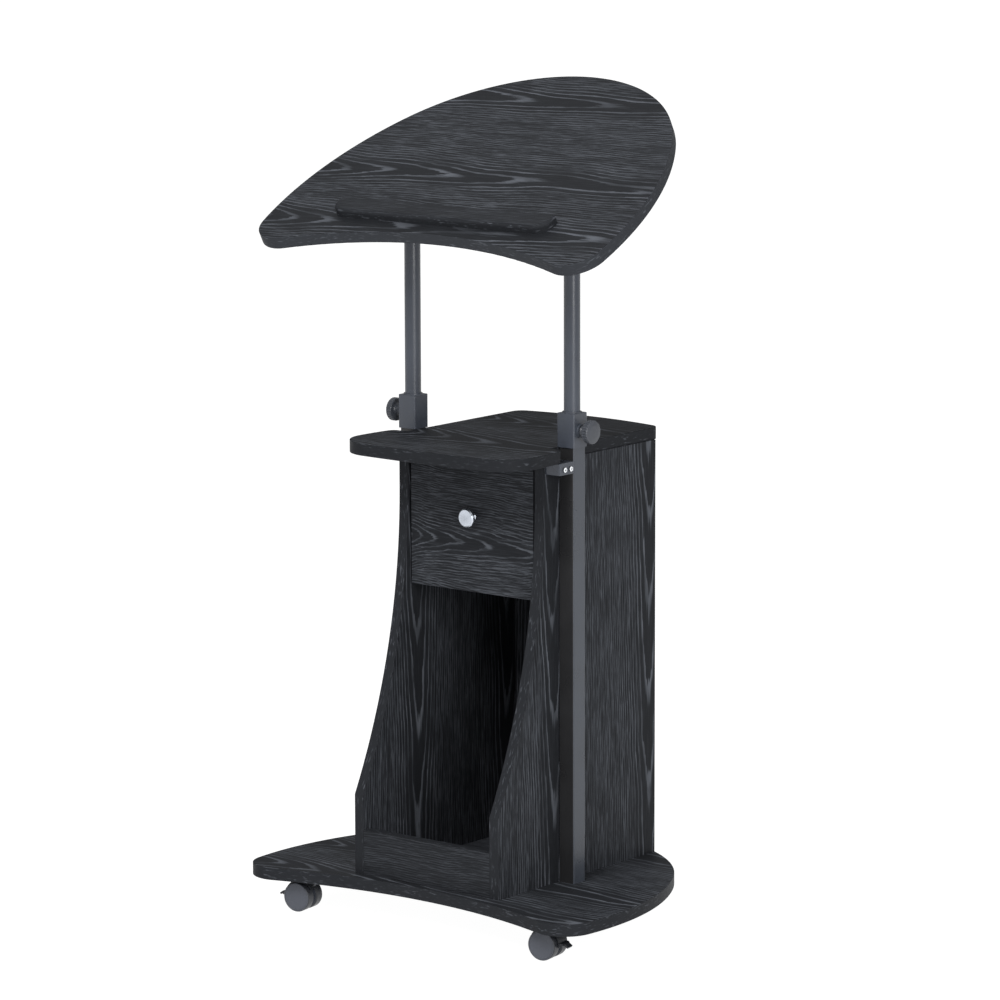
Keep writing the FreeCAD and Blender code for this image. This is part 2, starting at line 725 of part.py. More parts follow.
def place_on_top(body, x, y, z):
    """Place by plate coordinates: the middle of the outline, on the underside."""
    offset = Vector(x, y - PIVOT_IN_PLATE, z + size("pivot_to_plate"))
    body.Placement = Placement(PIVOT + TILT.multVec(offset), TILT)


top_plate = new_body("top_plate")
pad(top_plate, "board", "XY_Plane", leaf_outline(), size("plate_thickness"),
    size_name="plate_thickness")
soften_board(top_plate, size("plate_thickness"))
place_on_top(top_plate, 0, 0, 0)

book_ledge = new_body("book_ledge")
ledge_half = size("ledge_half")
depth = size("ledge_depth")
pad(book_ledge, "bar", "XY_Plane", rectangle(-ledge_half, 0, ledge_half, depth),
    size("ledge_height"), size_name="ledge_height")
fillet(book_ledge, "front_corners", size("ledge_corner_radius"),
       lambda edge: is_upright(edge) and edge.BoundBox.YMax < 1)
fillet(book_ledge, "rounded_lip", size("ledge_lip_radius"),
       lambda edge: lies_at(edge, size("ledge_height")) and edge.BoundBox.YMin < depth - 1)
place_on_top(book_ledge, 0, size("ledge_front"), size("plate_thickness"))

for side, sign in SIDES.items():
    # Forked bracket: a web against the underside of the plate and two ears.
    fork = new_body("tilt_bracket_" + side)
    half_web = LUG / 2 + EAR_GAP + EAR
    reach = size("pivot_to_plate")
    ear_half = size("ear_radius")
    web_half = 36.0
    pad(fork, "web", "XY_Plane", rectangle(-half_web, -web_half, half_web, web_half), EAR,
        reverse=True)
    ear_outline = [
        line((-ear_half, 0), (-ear_half, -reach)),
        arc((0, -reach), ear_half, math.pi, 2 * math.pi),
        line((ear_half, -reach), (ear_half, 0)),
        line((ear_half, 0), (-ear_half, 0)),
    ]
    pad(fork, "outer_ear", "YZ_Plane", ear_outline, EAR, offset=half_web - EAR)
    pad(fork, "inner_ear", "YZ_Plane", ear_outline, EAR, offset=-half_web)
    pocket(fork, "pivot_hole", "YZ_Plane", [circle((0, -reach), PIVOT_HOLE)],
           2 * half_web + 2, offset=half_web + 1)
    for end in (-1, 1):
        name = "screw_head_front" if end < 0 else "screw_head_rear"
        pad(fork, name, "XY_Plane", [circle((0, end * (web_half - 10)), 4.2)], 2.0,
            offset=-EAR, reverse=True)
    fork_place = Vector(sign * POST_X, PIVOT_IN_PLATE, 0)
    place_on_top(fork, fork_place.x, fork_place.y, fork_place.z)

# ---------------------------------------------------------------- casters

WHEEL = size("wheel_radius")
TRAIL = size("caster_trail")
AXLE = size("axle_radius")
AXLE_DROP = BASE_BOTTOM - WHEEL
HALF_GAP = size("wheel_gap") / 2
HALF_TWIN = HALF_GAP + size("wheel_width")
PIN_RADIUS = 4.0
PIN_SHOULDER = -5.4
PIN_TIP_RADIUS = 2.4
PIN_TIP = -13.0
FLANGE = 2.0
HOOD_TOP = -FLANGE - 0.4
WEB_HALF = HALF_GAP - 0.45
HOOD_HALF = 9.5
GUARD_OUTER = AXLE_DROP + HOOD_TOP - 0.7
GUARD_INNER = WHEEL + 0.7
PEDAL_HALF = 6.2
LEVER_REACH = 25.4
LEVER_ANGLE = math.radians(4)
LEVER_X = TRAIL + LEVER_REACH * math.cos(LEVER_ANGLE)
LEVER_Z = -AXLE_DROP + LEVER_REACH * math.sin(LEVER_ANGLE)


def make_stem(name):
    """Peg in the base plate, thrust flange under it and a stepped swivel pin below."""
    stem = new_body(name)
    revolve(stem, "turned", polygon([
        (0, PIN_TIP), (PIN_TIP_RADIUS - 0.6, PIN_TIP), (PIN_TIP_RADIUS, PIN_TIP + 0.6),
        (PIN_TIP_RADIUS, PIN_SHOULDER), (PIN_RADIUS, PIN_SHOULDER), (PIN_RADIUS, -FLANGE),
        (14.0, -FLANGE), (14.0, -0.6), (13.4, 0), (STEM_PEG_RADIUS, 0),
        (STEM_PEG_RADIUS, STEM_PEG_LENGTH - 1), (STEM_PEG_RADIUS - 1, STEM_PEG_LENGTH),
        (0, STEM_PEG_LENGTH),
    ]))
    return stem


def make_hood(name, with_lugs):
    """Swivel body: pin boss, middle web to the axle and a mudguard over both wheels."""
    hood = new_body(name)
    pad(hood, "boss", "XY_Plane", [circle((0, 0), 6.0)], 3.9, offset=HOOD_TOP, reverse=True)
    web_top = GUARD_OUTER - AXLE_DROP
    pad(hood, "web", "XZ_Plane", [
        line((-7.0, web_top - 4), (-7.0, web_top)),
        line((-7.0, web_top), (TRAIL, web_top)),
        arc((TRAIL, -AXLE_DROP), GUARD_OUTER, 0.0, math.pi / 2),
        line((TRAIL + GUARD_OUTER, -AXLE_DROP), (TRAIL + 8.0, -AXLE_DROP)),
        arc((TRAIL, -AXLE_DROP), 8.0, math.pi * 1.25, math.pi * 2),
        line((TRAIL + 8.0 * math.cos(math.pi * 1.25),
              -AXLE_DROP + 8.0 * math.sin(math.pi * 1.25)), (-7.0, web_top - 4)),
    ], 2 * WEB_HALF, offset=-WEB_HALF)
    start = math.radians(-6)
    end = math.radians(150)

    def on_guard(radius, angle):
        return (TRAIL + radius * math.cos(angle), -AXLE_DROP + radius * math.sin(angle))

    pad(hood, "mudguard", "XZ_Plane", [
        arc((TRAIL, -AXLE_DROP), GUARD_OUTER, start, end),
        line(on_guard(GUARD_OUTER, end), on_guard(GUARD_INNER, end)),
        arc((TRAIL, -AXLE_DROP), GUARD_INNER, start, end),
        line(on_guard(GUARD_INNER, start), on_guard(GUARD_OUTER, start)),
    ], 2 * HOOD_HALF, offset=-HOOD_HALF)
    if with_lugs:
        lug = 2.6
        root = (GUARD_INNER + GUARD_OUTER) / 2
        across = (-lug * math.sin(LEVER_ANGLE), lug * math.cos(LEVER_ANGLE))
        foot = on_guard(root, LEVER_ANGLE)
        lug_outline = [
            arc((LEVER_X, LEVER_Z), lug, LEVER_ANGLE - math.pi / 2, LEVER_ANGLE + math.pi / 2),
            line((LEVER_X + across[0], LEVER_Z + across[1]),
                 (foot[0] + across[0], foot[1] + across[1])),
            line((foot[0] + across[0], foot[1] + across[1]),
                 (foot[0] - across[0], foot[1] - across[1])),
            line((foot[0] - across[0], foot[1] - across[1]),
                 (LEVER_X - across[0], LEVER_Z - across[1])),
        ]
        for lug_side, low in (("near", PEDAL_HALF + 0.4), ("far", -HOOD_HALF)):
            pad(hood, "lever_lug_" + lug_side, "XZ_Plane", lug_outline,
                HOOD_HALF - PEDAL_HALF - 0.4, offset=low)
        pad(hood, "lever_pin", "XZ_Plane", [circle((LEVER_X, LEVER_Z), 1.1)],
            2 * HOOD_HALF - 2, offset=1 - HOOD_HALF)
    pocket(hood, "axle_hole", "XZ_Plane", [circle((TRAIL, -AXLE_DROP), AXLE + 0.02)],
           2 * WEB_HALF + 2, offset=WEB_HALF + 1)
    pocket(hood, "pin_bore", "XY_Plane", [circle((0, 0), PIN_RADIUS + GAP)],
           HOOD_TOP - PIN_SHOULDER + 0.3, offset=HOOD_TOP)
    pocket(hood, "tip_bore", "XY_Plane", [circle((0, 0), PIN_TIP_RADIUS + GAP)],
           HOOD_TOP - PIN_TIP + 0.5, offset=HOOD_TOP)
    return hood


def make_axle(name):
    axle = new_body(name)
    half = HALF_TWIN - 1.6
    pad(axle, "rod", "XZ_Plane", [circle((TRAIL, -AXLE_DROP), AXLE)], 2 * half, offset=-half)
    chamfer(axle, "ends", 0.5, lambda edge: edge.BoundBox.YLength < 0.01)
    return axle


def make_wheel(name):
    """Closed outer face with a shallow rim step, tread, and a blind bore for the axle."""
    wheel = new_body(name)
    width = size("wheel_width")
    profile = polygon([
        (AXLE + GAP, 0), (WHEEL - 2.0, 0), (WHEEL, 1.2), (WHEEL, width - 1.6),
        (WHEEL - 0.8, width - 0.5), (WHEEL - 2.0, width - 0.3), (WHEEL - 2.4, width - 0.7),
        (9.0, width - 0.1), (0, width), (0, width - 1.4), (AXLE + GAP, width - 1.4),
    ])
    revolve(wheel, "turned", profile)
    return wheel


def make_lever(name):
    """Foot pedal hinged behind the wheels, sloping down and away from them."""
    lever = new_body(name)
    barrel = 2.2
    tip = (LEVER_X + 9.4, LEVER_Z - 2.4)
    bend = (LEVER_X + 4.0, LEVER_Z + 0.6)
    pad(lever, "pedal", "XZ_Plane", polygon([
        (LEVER_X, LEVER_Z + barrel), (bend[0], bend[1] + 0.9), tip,
        (tip[0] - 1.6, tip[1] - 1.8), (bend[0] - 0.4, bend[1] - 1.8),
        (LEVER_X, LEVER_Z - barrel),
    ]), 2 * PEDAL_HALF, offset=-PEDAL_HALF)
    pad(lever, "barrel", "XZ_Plane", [circle((LEVER_X, LEVER_Z), barrel)], 2 * PEDAL_HALF,
        offset=-PEDAL_HALF)
    fillet(lever, "tip_corners", 1.5,
           lambda edge: edge.BoundBox.XMin > tip[0] - 1.7 and edge.BoundBox.YLength < 0.01
           and edge.BoundBox.ZLength > 0.5)
    pocket(lever, "pin_hole", "XZ_Plane", [circle((LEVER_X, LEVER_Z), 1.1 + GAP)], 20.0,
           offset=10.0)
    return lever


for corner, (x, y, turn) in CASTERS.items():
    heading = Rotation(UP, turn)
    front = corner.startswith("front")
    pieces = [
        make_stem("caster_stem_" + corner),
        make_hood("caster_hood_" + corner, front),
        make_axle("caster_axle_" + corner),
    ]
    if front:
        pieces.append(make_lever("brake_lever_" + corner))
    for piece in pieces:
        place(piece, x=x, y=y, z=BASE_BOTTOM, rotation=heading)
    for name, sign in (("a", 1), ("b", -1)):
        wheel = make_wheel("wheel_%s_%s" % (corner, name))
        hub = Vector(TRAIL, sign * HALF_GAP, -AXLE_DROP)
        facing = Rotation(UP, Vector(0, sign, 0))
        wheel.Placement = Placement(Vector(x, y, BASE_BOTTOM) + heading.multVec(hub),
                                    heading.multiply(facing))

# ---------------------------------------------------------------- checks and export

doc.recompute()
for item in doc.Objects:
    if any(word in item.State for word in ("Invalid", "Error")):
        raise ValueError("%s is %s" % (item.Label, item.State))

bodies = [item for item in doc.Objects if item.TypeId == "PartDesign::Body"]
for body in bodies:
    shape = body.Shape
    if shape.isNull() or not shape.isValid() or len(shape.Solids) != 1:
        raise ValueError("%s has no single valid solid" % body.Label)
for body in bodies:
    body.Shape.exportStep("parts/%s.step" % body.Label)
print("%d parts written" % len(bodies))
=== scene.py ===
import math

import bpy
from mathutils import Matrix, Vector


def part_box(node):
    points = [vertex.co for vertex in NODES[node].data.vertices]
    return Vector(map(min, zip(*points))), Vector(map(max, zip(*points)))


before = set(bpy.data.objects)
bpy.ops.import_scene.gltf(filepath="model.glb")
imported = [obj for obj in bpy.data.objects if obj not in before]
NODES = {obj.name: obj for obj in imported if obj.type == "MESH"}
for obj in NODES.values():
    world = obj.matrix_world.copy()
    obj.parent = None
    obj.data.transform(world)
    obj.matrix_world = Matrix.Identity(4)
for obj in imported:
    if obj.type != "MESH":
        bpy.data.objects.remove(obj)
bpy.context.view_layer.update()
scene = bpy.context.scene

# The top plate's lean toward the user, which its grain and the ledge's grain follow.
TILT = math.radians(28.2)


# ---------------------------------------------------------------- node helpers

class Graph:
    """A material's node tree, with short calls for the nodes used here."""

    def __init__(self, name):
        self.material = bpy.data.materials.new(name)
        self.material.use_nodes = True
        self.tree = self.material.node_tree
        self.tree.nodes.clear()
        self.shader = self.tree.nodes.new("ShaderNodeBsdfPrincipled")
        output = self.tree.nodes.new("ShaderNodeOutputMaterial")
        self.link(self.shader.outputs["BSDF"], output.inputs["Surface"])

    def link(self, source, target):
        self.tree.links.new(source, target)

    def set(self, socket, value):
        """Plug in a link, or set a constant on the socket itself."""
        if isinstance(value, bpy.types.NodeSocket):
            self.link(value, socket)
        else:
            socket.default_value = value

    def put(self, **values):
        """Values for the shader's sockets, with underscores for spaces."""
        for name, value in values.items():
            self.set(self.shader.inputs[name.replace("_", " ")], value)

    def coords(self, scale=(1, 1, 1), turn=(0, 0, 0), move=(0, 0, 0)):
        """The piece's own coordinates, scaled, then turned, then moved."""
        source = self.tree.nodes.new("ShaderNodeTexCoord")
        mapping = self.tree.nodes.new("ShaderNodeMapping")
        self.link(source.outputs["Object"], mapping.inputs["Vector"])
        mapping.inputs["Scale"].default_value = scale
        mapping.inputs["Rotation"].default_value = turn
        mapping.inputs["Location"].default_value = move
        return mapping.outputs["Vector"]

    def face_normal(self, turn=(0, 0, 0)):
        """The piece's own surface normal, turned with its coordinates."""
        source = self.tree.nodes.new("ShaderNodeTexCoord")
        mapping = self.tree.nodes.new("ShaderNodeMapping")
        mapping.vector_type = "VECTOR"
        self.link(source.outputs["Normal"], mapping.inputs["Vector"])
        mapping.inputs["Rotation"].default_value = turn
        return mapping.outputs["Vector"]

    def stretch(self, vector, scale, move=(0, 0, 0)):
        mapping = self.tree.nodes.new("ShaderNodeMapping")
        self.link(vector, mapping.inputs["Vector"])
        mapping.inputs["Scale"].default_value = scale
        mapping.inputs["Location"].default_value = move
        return mapping.outputs["Vector"]

    def split(self, vector):
        node = self.tree.nodes.new("ShaderNodeSeparateXYZ")
        self.link(vector, node.inputs["Vector"])
        return node.outputs["X"], node.outputs["Y"], node.outputs["Z"]

    def math(self, operation, first, second=None, third=None):
        node = self.tree.nodes.new("ShaderNodeMath")
        node.operation = operation
        for index, value in enumerate((first, second, third)):
            if value is not None:
                self.set(node.inputs[index], value)
        return node.outputs["Value"]

    def add(self, first, second):
        return self.math("ADD", first, second)

    def times(self, first, second):
        return self.math("MULTIPLY", first, second)

    def noise(self, vector, scale=1.0, detail=2.0, rough=0.5):
        node = self.tree.nodes.new("ShaderNodeTexNoise")
        self.link(vector, node.inputs["Vector"])
        node.inputs["Scale"].default_value = scale
        node.inputs["Detail"].default_value = detail
        node.inputs["Roughness"].default_value = rough
        return node.outputs["Fac"]

    def remap(self, value, low, high, out_low=0.0, out_high=1.0):
        node = self.tree.nodes.new("ShaderNodeMapRange")
        node.interpolation_type = "SMOOTHSTEP"
        self.link(value, node.inputs["Value"])
        node.inputs["From Min"].default_value = low
        node.inputs["From Max"].default_value = high
        node.inputs["To Min"].default_value = out_low
        node.inputs["To Max"].default_value = out_high
        return node.outputs["Result"]

    def mix(self, factor, first, second):
        node = self.tree.nodes.new("ShaderNodeMix")
        node.data_type = "RGBA"
        self.set(node.inputs["Factor"], factor)
        self.set(node.inputs["A"], first)
        self.set(node.inputs["B"], second)
        return node.outputs["Result"]

    def bump(self, height, distance, strength=1.0):
        node = self.tree.nodes.new("ShaderNodeBump")
        node.inputs["Distance"].default_value = distance
        node.inputs["Strength"].default_value = strength
        self.link(height, node.inputs["Height"])
        self.link(node.outputs["Normal"], self.shader.inputs["Normal"])

    def edges(self, radius):
        """0 on flat faces, rising to 1 where the surface turns within radius of an edge."""
        round_off = self.tree.nodes.new("ShaderNodeBevel")
        round_off.samples = 4
        round_off.inputs["Radius"].default_value = radius
        geometry = self.tree.nodes.new("ShaderNodeNewGeometry")
        dot = self.tree.nodes.new("ShaderNodeVectorMath")
        dot.operation = "DOT_PRODUCT"
        self.link(round_off.outputs["Normal"], dot.inputs[0])
        self.link(geometry.outputs["Normal"], dot.inputs[1])
        return self.remap(dot.outputs["Value"], 0.999, 0.86)


def grey(red, green, blue):
    """Linear colour from display values 0 to 255."""
    def linear(value):
        value /= 255
        return value / 12.92 if value <= 0.04045 else ((value + 0.055) / 1.055) ** 2.4
    return (linear(red), linear(green), linear(blue), 1.0)


# ---------------------------------------------------------------- laminate

CHARCOAL = (0.0165, 0.0176, 0.0202)
GRAIN = (0.098, 0.106, 0.122)
MILLIMETRES = (1000, 1000, 1000)
QUARTER = math.pi / 2
# Turns that bring a board's grain onto X and its width onto Y.
FLAT = (0.0, 0.0, 0.0)
FACING_FRONT = (-QUARTER, 0.0, 0.0)
SIDE_UPRIGHT = (0.0, -QUARTER, 0.0)
BACK_UPRIGHT = (QUARTER, 0.0, QUARTER)
TOP_FLAT = (-TILT, 0.0, 0.0)


def laminate(name, turn, hearts, move=(0, 0, 0), scale=(1, 1, 1), reach=422.0, rings=2.85,
             start=0.5, shade=1.0, open_grain=1.0, wander=26.0, fine=0.34, edge_tone=0.04):
    """Charcoal woodgrain laminate: long cathedral arches with fine short pores between.

    Millimetres. hearts are the places across the board where the arches have their
    middle. reach and rings set how the arches follow each other along the grain: their
    tips draw apart by the distance from a point reach behind the middle of the board.
    fine sets how close the lines beside the arches lie, wander how far they sway, and
    edge_tone how much of the grain's tone the edge band has; raised on the top plate, it is
    painted light, brightening a rim that takes less light than the face. shade scales the
    whole colour and is painted light: the boards are one laminate, each made brighter or
    darker for the light it takes.
    """
    graph = Graph(name)
    board = graph.coords(MILLIMETRES, turn, move)
    wood = graph.stretch(board, scale)
    along, across, _ = graph.split(wood)

    # Arches: rounded over each heart, then running out beside it in closer lines.
    sway = graph.noise(graph.stretch(wood, (0.006, 0.004, 0.004)), detail=1.0)
    swayed = graph.add(across, graph.times(graph.add(sway, -0.5), wander))
    fold = None
    for heart in hearts:
        distance = graph.math("ABSOLUTE", graph.add(swayed, -heart))
        fold = distance if fold is None else graph.math("MINIMUM", fold, distance)
    arch = graph.math("SQRT", graph.add(graph.times(fold, fold), 30.0))
    cone = graph.math("LOGARITHM", graph.math("MAXIMUM", graph.add(along, reach), 20.0), math.e)
    phase = graph.add(graph.times(cone, rings), start)
    phase = graph.add(phase, graph.times(arch, 0.014))
    flank = graph.math("DIVIDE", graph.times(arch, arch), graph.add(arch, 100.0))
    phase = graph.add(phase, graph.times(flank, fine))

    # Slow drift and fine feathering take the evenness out of the arches.
    drift = graph.noise(graph.stretch(wood, (0.008, 0.02, 0.02), (3, 8, 1)), detail=2.0)
    phase = graph.add(phase, graph.times(drift, 0.9))
    feather = graph.noise(graph.stretch(wood, (0.02, 0.34, 0.34), (7, 1, 4)), detail=3.0, rough=0.65)
    phase = graph.add(phase, graph.times(feather, 0.55))

    # Each ring is a pale line with one crisp side, fainter here and there.
    ring = graph.math("FRACT", phase)
    line = graph.times(graph.remap(ring, 0.0, 0.05), graph.remap(ring, 0.36, 0.12))
    strength = graph.noise(graph.stretch(wood, (0.012, 0.05, 0.05), (5, 9, 2)), detail=2.0)
    line = graph.times(line, graph.remap(strength, 0.28, 0.68, 0.2, 1.0))
    line = graph.times(line, graph.remap(fold, 20.0, 90.0, 1.0, 0.72))

    # Pores are short streaks along the grain, few in the hearts and more beside them.
    streak = graph.noise(graph.stretch(board, (0.022, 0.8, 0.8)), detail=3.0, rough=0.6)
    streak = graph.remap(streak, 0.47, 0.63)
    dashes = graph.noise(graph.stretch(board, (0.05, 0.7, 0.7), (31, 7, 3)), detail=2.0)
    pores = graph.times(streak, graph.remap(dashes, 0.36, 0.62, 0.2, 1.0))
    pores = graph.times(pores, graph.remap(fold, 8.0, 46.0, 0.08, 0.62))
    face = graph.math("MAXIMUM", graph.times(line, 0.85), pores)
    face = graph.times(face, open_grain)

    # The edge band is plainer, with a few flecks that run along it.
    normal = graph.face_normal(turn)
    on_face = graph.remap(graph.math("ABSOLUTE", graph.split(normal)[2]), 0.6, 0.8)
    fleck = graph.noise(graph.stretch(board, (0.09, 0.09, 0.55), (2, 6, 9)), detail=2.0)
    group = graph.noise(graph.stretch(board, (0.02, 0.02, 0.1), (4, 4, 4)), detail=1.0)
    band = graph.times(graph.remap(fleck, 0.56, 0.7), graph.remap(group, 0.4, 0.6, 0.1, 0.5))
    # edge_tone lightens the whole band; raised on the top plate, it is painted light on a rim that
    # takes less light.
    band = graph.add(band, edge_tone)
    pattern = graph.add(graph.times(face, on_face),
                        graph.times(band, graph.math("SUBTRACT", 1.0, on_face)))

    # Colour: pale grain over mottled charcoal, darker on the edges.
    mottle = graph.noise(graph.stretch(board, (0.02, 0.05, 0.05), (8, 3, 5)), detail=3.0)
    # shade is painted light: it scales the whole colour, so each board of the one laminate reads
    # brighter or darker for the light it takes.
    dark = tuple(channel * shade for channel in CHARCOAL) + (1.0,)
    deep = tuple(channel * shade * 0.78 for channel in CHARCOAL) + (1.0,)
    light = tuple(channel * shade for channel in GRAIN) + (1.0,)
    colour = graph.mix(pattern, graph.mix(mottle, deep, dark), light)
    darker_edges = graph.times(graph.edges(0.0011), 0.3)
    colour = graph.mix(darker_edges, colour, tuple(channel * 0.6 for channel in CHARCOAL) + (1.0,))
    graph.put(Base_Color=colour, Roughness=graph.remap(pattern, 0.0, 1.0, 0.46, 0.62),
              Specular_IOR_Level=0.03)
    relief = graph.add(graph.times(streak, -0.6), graph.times(line, -0.5))
    graph.bump(relief, 0.00007, 0.6)
    return graph.material


# Each board's shade is painted light: one laminate, made brighter or darker for the light and sheen
# each board takes. The top plate's high edge_tone is painted light on its rim.
BOARDS = {
    "top_plate": dict(turn=TOP_FLAT, hearts=(-36, 153, -159), move=(0, -488, 0),
                      shade=0.96, edge_tone=0.2),
    "book_ledge": dict(turn=TOP_FLAT, hearts=(-260, 40), move=(0, -488, 0), shade=1.05,
                       open_grain=0.35),
    "base_plate": dict(turn=FLAT, hearts=(-44, 112, -142), scale=(1.0, 0.75, 1.0)),
    "shelf_board": dict(turn=FLAT, hearts=(-33, 63, -138), reach=170.0, rings=1.9, start=0.1,
                        scale=(1.0, 0.6, 1.0), shade=0.86),
    "kick_rail": dict(turn=FACING_FRONT, hearts=(260, -200), scale=(1.6, 1.0, 1.0),
                      open_grain=0.5),
    "drawer_front": dict(turn=FACING_FRONT, hearts=(-53, 330, -260), move=(0, -545, 0),
                         scale=(2.73, 1.9, 1.0), fine=0.19, open_grain=0.9),
    "side_panel_left": dict(turn=SIDE_UPRIGHT, hearts=(-45, 150), reach=1510.0, rings=9.0,
                            start=0.0, wander=14.0),
    "side_panel_right": dict(turn=SIDE_UPRIGHT, hearts=(-42, 170), reach=1510.0, rings=9.0,
                             start=0.32, wander=14.0),
    "back_panel": dict(turn=BACK_UPRIGHT, hearts=(-60, 190), reach=900.0, rings=7.0,
                       wander=14.0),
}


# ---------------------------------------------------------------- other materials

def enamel(name, colour, rough=0.3, front=None):
    """Sprayed enamel: faint orange peel, soft cloudy gloss, paint thinned on the edges.

    front is a painted shade: the colour given to the flat face toward the user, darker to stand in
    for the shade on that face.
    """
    graph = Graph(name)
    place = graph.coords()
    cloud = graph.noise(place, 14.0, 3.0)
    peel = graph.noise(place, 900.0, 2.0)
    lighter = tuple(min(1.0, channel * 1.22) for channel in colour[:3]) + (1.0,)
    shade = graph.mix(graph.remap(cloud, 0.3, 0.7), colour, lighter)
    worn = graph.times(graph.edges(0.0007), graph.remap(graph.noise(place, 120.0), 0.4, 0.7))
    shade = graph.mix(graph.times(worn, 0.5), shade, grey(150, 154, 160))
    # Painted shade: the face toward the user is coloured darker for the shade that falls on it.
    if front:
        facing = graph.split(graph.face_normal())[1]
        front_painted_shade = graph.mix(graph.remap(cloud, 0.3, 0.7), front,
                         tuple(channel * 1.3 for channel in front[:3]) + (1.0,))
        shade = graph.mix(graph.remap(facing, -0.8, -0.95), shade, front_painted_shade)
    graph.put(Base_Color=shade, Specular_IOR_Level=0.4,
              Roughness=graph.remap(cloud, 0.3, 0.7, rough - 0.05, rough + 0.07))
    graph.bump(peel, 0.00003, 0.4)
    return graph.material


def moulded(name, colour, rough=0.5):
    """Moulded plastic with a spark-eroded grain, paler on all its edges."""
    graph = Graph(name)
    place = graph.coords()
    grain = graph.noise(place, 2600.0, 3.0, 0.6)
    cloud = graph.noise(place, 40.0, 3.0)
    lighter = tuple(min(1.0, channel * 1.3) for channel in colour[:3]) + (1.0,)
    shade = graph.mix(graph.remap(cloud, 0.3, 0.7, 0.0, 0.7), colour, lighter)
    shade = graph.mix(graph.times(graph.edges(0.0006), 0.4), shade, lighter)
    graph.put(Base_Color=shade, Specular_IOR_Level=0.5,
              Roughness=graph.remap(cloud, 0.3, 0.7, rough - 0.07, rough + 0.1))
    graph.bump(grain, 0.00005, 0.6)
    return graph.material


def screw_paint(name, colour, face, recess):
    """Painted screw head whose cross recess is coloured dark as painted shade.

    The white is whole face metres out from the middle of the cart, and gives way to the painted
    shade at recess.
    """
    graph = Graph(name)
    place = graph.coords()
    out = graph.math("ABSOLUTE", graph.split(place)[0])
    # Painted shade: nearer the middle of the cart than recess, the head is coloured dark for the
    # shade in its cross recess.
    outside_painted_shade = graph.remap(out, recess, face)
    cloud = graph.noise(place, 300.0, 2.0)
    paint = graph.mix(cloud, colour, tuple(channel * 0.85 for channel in colour[:3]) + (1.0,))
    graph.put(Base_Color=graph.mix(outside_painted_shade, grey(30, 31, 34), paint), Specular_IOR_Level=0.4,
              Roughness=graph.remap(cloud, 0.3, 0.7, 0.3, 0.45))
    graph.bump(graph.noise(place, 1500.0, 2.0), 0.00002, 0.4)
    return graph.material


def caster_plastic(name, cover, tread):
    """Twin-wheel plastic: paler cover discs, darker running band and inner face."""
    graph = Graph(name)
    place = graph.coords()
    facing = graph.math("ABSOLUTE", graph.split(graph.face_normal())[1])
    cloud = graph.noise(place, 60.0, 3.0)
    scuff = graph.remap(graph.noise(place, 260.0, 3.0), 0.5, 0.7, 0.0, 0.35)
    disc = graph.mix(cloud, cover, tuple(channel * 1.2 for channel in cover[:3]) + (1.0,))
    band = graph.mix(scuff, tread, tuple(channel * 1.9 for channel in tread[:3]) + (1.0,))
    graph.put(Base_Color=graph.mix(graph.remap(facing, 0.8, 0.92), band, disc),
              Specular_IOR_Level=0.45, Roughness=graph.remap(cloud, 0.3, 0.7, 0.36, 0.52))
    graph.bump(graph.noise(place, 2200.0, 3.0, 0.6), 0.00004, 0.5)
    return graph.material


def bare_metal(name, colour, rough=0.3):
    """Plated metal with a fine satin grain and dull blotches."""
    graph = Graph(name)
    place = graph.coords()
    lines = graph.noise(place, 900.0, 3.0, 0.6)
    blotch = graph.noise(place, 60.0, 3.0)
    darker = tuple(channel * 0.78 for channel in colour[:3]) + (1.0,)
    graph.put(Base_Color=graph.mix(graph.remap(blotch, 0.35, 0.7), colour, darker),
              Metallic=1.0,
              Roughness=graph.remap(lines, 0.3, 0.7, rough - 0.06, rough + 0.12))
    graph.bump(lines, 0.00002, 0.35)
    return graph.material


def assign(material, *names):
    for name in names:
        mesh = NODES[name].data
        mesh.materials.clear()
        mesh.materials.append(material)


SIDES = ("left", "right")
CORNERS = ("front_left", "front_right", "rear_left", "rear_right")

for board, settings in BOARDS.items():
    assign(laminate("laminate_" + board, **settings), board)

POST_GREY = enamel("post_grey", grey(54, 58, 66))
# The outer posts carry painted shade on their face toward the user.
OUTER_GREY_FRONT_SHADED = enamel("outer_post_grey_front_shade", grey(54, 58, 65), front=grey(32, 32, 33))
BRACKET_BLACK = enamel("bracket_black", grey(34, 35, 38), 0.55)
SCREW_FACE = max(abs(corner.x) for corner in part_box("bracket_screw_right_front"))
SCREW_WHITE = screw_paint("screw_white", grey(222, 225, 228), SCREW_FACE - 0.0004,
                          SCREW_FACE - 0.0008)
COLLAR_GREY = moulded("collar_grey", grey(54, 58, 66), 0.36)
KNOB_GREY = moulded("knob_grey", grey(54, 57, 63), 0.4)
CASTER_GREY = caster_plastic("caster_grey", grey(62, 65, 73), grey(36, 38, 43))
CASTER_DARK = moulded("caster_dark", grey(34, 36, 40), 0.45)
ZINC = bare_metal("zinc", grey(150, 152, 156), 0.34)
KNOB_SILVER = bare_metal("knob_silver", grey(200, 206, 216), 0.24)
DRAWER_BOARD = laminate("laminate_drawer_box", FLAT, (0, 140), open_grain=0.5)

